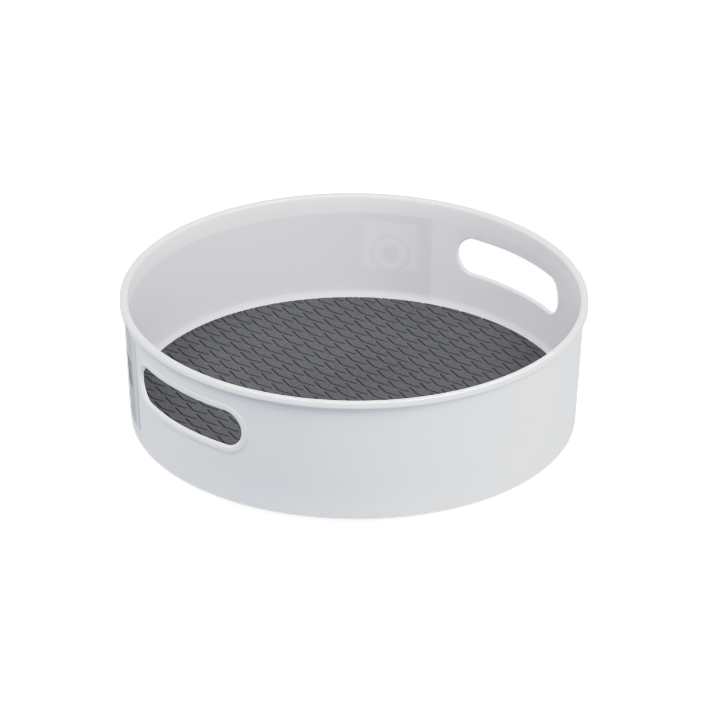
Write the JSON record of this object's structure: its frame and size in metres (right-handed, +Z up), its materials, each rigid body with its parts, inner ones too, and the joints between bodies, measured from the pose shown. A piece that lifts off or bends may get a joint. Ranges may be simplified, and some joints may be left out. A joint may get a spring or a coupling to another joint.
{
  "type": "lazy susan turntable",
  "caption": "Round open bin with two hand slots and a ribbed rubber floor mat, which turns freely on a ball bearing above a fixed base plate.",
  "frame": {"origin": "on the surface that the feet stand on, on the turning axis", "axes": "+Z up along the turning axis; +X and -X through the middles of the two hand slots; +Y towards the middle of the label"},
  "size_m": [0.3, 0.3, 0.0882],
  "materials": {
    "bin_plastic": "smooth moulded, satin gloss, faintly translucent white",
    "mat_rubber": "matte grey, fine grain, pressed with rows of shallow chevron grooves",
    "label_film": "printed film, wordless, satin",
    "zinc_steel": "zinc plated, fine brushed",
    "base_plastic": "fine spark-eroded texture",
    "cage_plastic": "natural acetal, satin",
    "foot_rubber": "matte soft rubber",
    "ball_steel": "polished bearing steel"
  },
  "bodies": {
    "base": {"base_plate": "base_plastic", "foot_pad_01": "foot_rubber", "foot_pad_02": "foot_rubber", "foot_pad_03": "foot_rubber", "foot_pad_04": "foot_rubber", "foot_pad_05": "foot_rubber", "foot_pad_06": "foot_rubber"},
    "tray": {"tray_bin": "bin_plastic", "nonslip_mat": "mat_rubber", "outer_label": "label_film", "pivot_screw": "zinc_steel", "pivot_washer": "zinc_steel"},
    "cage": {"ball_cage": "cage_plastic"},
    "ball_01": {"bearing_ball_01": "ball_steel"},
    "ball_02": {"bearing_ball_02": "ball_steel"},
    "ball_03": {"bearing_ball_03": "ball_steel"},
    "ball_04": {"bearing_ball_04": "ball_steel"},
    "ball_05": {"bearing_ball_05": "ball_steel"},
    "ball_06": {"bearing_ball_06": "ball_steel"},
    "ball_07": {"bearing_ball_07": "ball_steel"},
    "ball_08": {"bearing_ball_08": "ball_steel"},
    "ball_09": {"bearing_ball_09": "ball_steel"},
    "ball_10": {"bearing_ball_10": "ball_steel"},
    "ball_11": {"bearing_ball_11": "ball_steel"},
    "ball_12": {"bearing_ball_12": "ball_steel"},
    "ball_13": {"bearing_ball_13": "ball_steel"},
    "ball_14": {"bearing_ball_14": "ball_steel"},
    "ball_15": {"bearing_ball_15": "ball_steel"},
    "ball_16": {"bearing_ball_16": "ball_steel"}
  },
  "joints": [
    {"name": "tray_spin", "type": "hinge", "parent": "base", "child": "tray", "pos_m": [0, 0, 0], "axis": [0, 0, 1], "continuous": true},
    {"name": "cage_spin", "type": "hinge", "parent": "base", "child": "cage", "pos_m": [0, 0, 0], "axis": [0, 0, 1], "continuous": true},
    {"name": "ball_01_roll", "type": "hinge", "parent": "cage", "child": "ball_01", "pos_m": [0.07932, 0, 0.00702], "axis": [1, 0, 0], "continuous": true},
    {"name": "ball_02_roll", "type": "hinge", "parent": "cage", "child": "ball_02", "pos_m": [0.07329, 0.03036, 0.00702], "axis": [0.9239, 0.3827, 0], "continuous": true},
    {"name": "ball_03_roll", "type": "hinge", "parent": "cage", "child": "ball_03", "pos_m": [0.05609, 0.05609, 0.00702], "axis": [0.7071, 0.7071, 0], "continuous": true},
    {"name": "ball_04_roll", "type": "hinge", "parent": "cage", "child": "ball_04", "pos_m": [0.03036, 0.07329, 0.00702], "axis": [0.3827, 0.9239, 0], "continuous": true},
    {"name": "ball_05_roll", "type": "hinge", "parent": "cage", "child": "ball_05", "pos_m": [0, 0.07932, 0.00702], "axis": [0, 1, 0], "continuous": true},
    {"name": "ball_06_roll", "type": "hinge", "parent": "cage", "child": "ball_06", "pos_m": [-0.03036, 0.07329, 0.00702], "axis": [-0.3827, 0.9239, 0], "continuous": true},
    {"name": "ball_07_roll", "type": "hinge", "parent": "cage", "child": "ball_07", "pos_m": [-0.05609, 0.05609, 0.00702], "axis": [-0.7071, 0.7071, 0], "continuous": true},
    {"name": "ball_08_roll", "type": "hinge", "parent": "cage", "child": "ball_08", "pos_m": [-0.07329, 0.03036, 0.00702], "axis": [-0.9239, 0.3827, 0], "continuous": true},
    {"name": "ball_09_roll", "type": "hinge", "parent": "cage", "child": "ball_09", "pos_m": [-0.07932, 0, 0.00702], "axis": [-1, 0, 0], "continuous": true},
    {"name": "ball_10_roll", "type": "hinge", "parent": "cage", "child": "ball_10", "pos_m": [-0.07329, -0.03036, 0.00702], "axis": [-0.9239, -0.3827, 0], "continuous": true},
    {"name": "ball_11_roll", "type": "hinge", "parent": "cage", "child": "ball_11", "pos_m": [-0.05609, -0.05609, 0.00702], "axis": [-0.7071, -0.7071, 0], "continuous": true},
    {"name": "ball_12_roll", "type": "hinge", "parent": "cage", "child": "ball_12", "pos_m": [-0.03036, -0.07329, 0.00702], "axis": [-0.3827, -0.9239, 0], "continuous": true},
    {"name": "ball_13_roll", "type": "hinge", "parent": "cage", "child": "ball_13", "pos_m": [0, -0.07932, 0.00702], "axis": [0, -1, 0], "continuous": true},
    {"name": "ball_14_roll", "type": "hinge", "parent": "cage", "child": "ball_14", "pos_m": [0.03036, -0.07329, 0.00702], "axis": [0.3827, -0.9239, 0], "continuous": true},
    {"name": "ball_15_roll", "type": "hinge", "parent": "cage", "child": "ball_15", "pos_m": [0.05609, -0.05609, 0.00702], "axis": [0.7071, -0.7071, 0], "continuous": true},
    {"name": "ball_16_roll", "type": "hinge", "parent": "cage", "child": "ball_16", "pos_m": [0.07329, -0.03036, 0.00702], "axis": [0.9239, -0.3827, 0], "continuous": true}
  ],
  "couplings": [
    {"joint": "cage_spin", "follows": "tray_spin", "ratio": 0.5},
    {"joint": "ball_01_roll", "follows": "tray_spin", "ratio": -13.221},
    {"joint": "ball_02_roll", "follows": "tray_spin", "ratio": -13.221},
    {"joint": "ball_03_roll", "follows": "tray_spin", "ratio": -13.221},
    {"joint": "ball_04_roll", "follows": "tray_spin", "ratio": -13.221},
    {"joint": "ball_05_roll", "follows": "tray_spin", "ratio": -13.221},
    {"joint": "ball_06_roll", "follows": "tray_spin", "ratio": -13.221},
    {"joint": "ball_07_roll", "follows": "tray_spin", "ratio": -13.221},
    {"joint": "ball_08_roll", "follows": "tray_spin", "ratio": -13.221},
    {"joint": "ball_09_roll", "follows": "tray_spin", "ratio": -13.221},
    {"joint": "ball_10_roll", "follows": "tray_spin", "ratio": -13.221},
    {"joint": "ball_11_roll", "follows": "tray_spin", "ratio": -13.221},
    {"joint": "ball_12_roll", "follows": "tray_spin", "ratio": -13.221},
    {"joint": "ball_13_roll", "follows": "tray_spin", "ratio": -13.221},
    {"joint": "ball_14_roll", "follows": "tray_spin", "ratio": -13.221},
    {"joint": "ball_15_roll", "follows": "tray_spin", "ratio": -13.221},
    {"joint": "ball_16_roll", "follows": "tray_spin", "ratio": -13.221}
  ]
}
